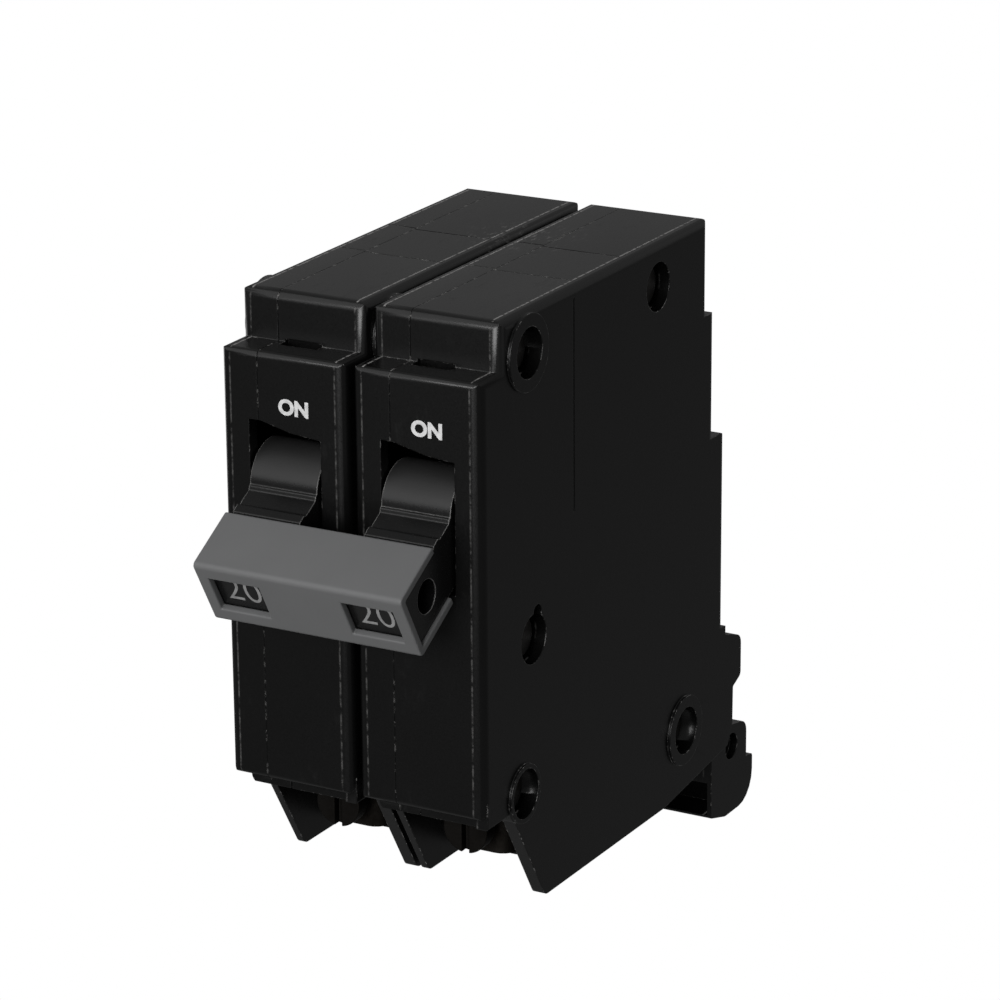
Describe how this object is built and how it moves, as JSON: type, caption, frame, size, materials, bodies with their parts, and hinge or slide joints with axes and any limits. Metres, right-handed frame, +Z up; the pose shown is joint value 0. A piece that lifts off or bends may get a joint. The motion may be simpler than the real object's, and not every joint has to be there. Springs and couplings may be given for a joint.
{
  "type": "circuit breaker",
  "caption": "Plug-on circuit breaker with tied toggle handles, moulded case, stab jaws, wire lugs and a working contact and trip mechanism",
  "frame": {"origin": "centre of the flat back faces' plane, midway between the poles", "axes": "X across the poles, the handles face -Y, +Z up with the tied handles' on position"},
  "size_m": [0.0382, 0.0916, 0.0884],
  "materials": {
    "case": "satin moulded thermoset",
    "handle": "satin moulded plastic",
    "tie": "matt grey coated steel",
    "rivet": "dull blackened steel",
    "bar": "moulded nylon",
    "copper": "drawn copper alloy",
    "silver_contact": "silver alloy",
    "spring_steel": "bright spring steel",
    "steel": "zinc plated steel",
    "bimetal": "rolled bimetal strip",
    "lug": "dark tinned aluminium",
    "screw": "dark plated steel"
  },
  "bodies": {
    "case": {"base_left": "case", "base_right": "case", "cover_left": "case", "cover_right": "case", "case_rivets": "rivet", "fixed_contact_left": "silver_contact", "fixed_contact_right": "silver_contact", "line_strap_left": "copper", "line_strap_right": "copper", "stab_jaw_left": "copper", "stab_jaw_right": "copper", "jaw_spring_left": "spring_steel", "jaw_spring_right": "spring_steel", "arc_plates_left": "steel", "arc_plates_right": "steel", "arm_spring_left": "spring_steel", "arm_spring_right": "spring_steel", "magnet_yoke_left": "steel", "magnet_yoke_right": "steel", "bimetal_left": "bimetal", "bimetal_right": "bimetal", "braid_left": "copper", "braid_right": "copper", "load_strap_left": "copper", "load_strap_right": "copper", "lug_left": "lug", "lug_right": "lug", "calibration_screw_left": "screw", "calibration_screw_right": "screw"},
    "handles": {"handle_left": "handle", "handle_right": "handle", "handle_tie": "tie"},
    "trip_bar": {"trip_bar": "bar"},
    "arm_left": {"contact_arm_left": "copper", "moving_contact_left": "silver_contact"},
    "armature_left": {"armature_left": "steel"},
    "cradle_left": {"cradle_left": "steel"},
    "lug_screw_left": {"lug_screw_left": "screw"},
    "arm_right": {"contact_arm_right": "copper", "moving_contact_right": "silver_contact"},
    "armature_right": {"armature_right": "steel"},
    "cradle_right": {"cradle_right": "steel"},
    "lug_screw_right": {"lug_screw_right": "screw"}
  },
  "joints": [
    {"name": "handle_turn", "type": "hinge", "parent": "case", "child": "handles", "pos_m": [0, -0.0639, 0.02215], "axis": [-1, 0, 0], "range_deg": [0, 60]},
    {"name": "trip_bar_turn", "type": "hinge", "parent": "case", "child": "trip_bar", "pos_m": [0, -0.0279, -0.01115], "axis": [-1, 0, 0], "range_deg": [0, 6], "stiffness_Nm_per_rad": 0.02, "springref_deg": -17.19},
    {"name": "arm_left_turn", "type": "hinge", "parent": "case", "child": "arm_left", "pos_m": [-0.00935, -0.0484, 0.01785], "axis": [1, 0, 0], "range_deg": [0, 12]},
    {"name": "armature_left_tilt", "type": "hinge", "parent": "case", "child": "armature_left", "pos_m": [-0.00935, -0.0242, -0.02115], "axis": [-1, 0, 0], "range_deg": [0, 3]},
    {"name": "cradle_left_turn", "type": "hinge", "parent": "case", "child": "cradle_left", "pos_m": [-0.00505, -0.0414, 0.00485], "axis": [-1, 0, 0], "range_deg": [0, 15]},
    {"name": "lug_screw_left_slide", "type": "slide", "parent": "case", "child": "lug_screw_left", "axis": [0, 1, 0], "range_m": [0, 0.0022]},
    {"name": "arm_right_turn", "type": "hinge", "parent": "case", "child": "arm_right", "pos_m": [0.0097, -0.0484, 0.01785], "axis": [1, 0, 0], "range_deg": [0, 12]},
    {"name": "armature_right_tilt", "type": "hinge", "parent": "case", "child": "armature_right", "pos_m": [0.0097, -0.0242, -0.02115], "axis": [-1, 0, 0], "range_deg": [0, 3]},
    {"name": "cradle_right_turn", "type": "hinge", "parent": "case", "child": "cradle_right", "pos_m": [0.014, -0.0414, 0.00485], "axis": [-1, 0, 0], "range_deg": [0, 15]},
    {"name": "lug_screw_right_slide", "type": "slide", "parent": "case", "child": "lug_screw_right", "axis": [0, 1, 0], "range_m": [0, 0.0022]}
  ],
  "couplings": [
    {"joint": "arm_left_turn", "follows": "handle_turn", "ratio": 0.2},
    {"joint": "armature_left_tilt", "follows": "trip_bar_turn", "ratio": 0.5},
    {"joint": "cradle_left_turn", "follows": "trip_bar_turn", "ratio": 2.5},
    {"joint": "arm_right_turn", "follows": "handle_turn", "ratio": 0.2},
    {"joint": "armature_right_tilt", "follows": "trip_bar_turn", "ratio": 0.5},
    {"joint": "cradle_right_turn", "follows": "trip_bar_turn", "ratio": 2.5}
  ]
}
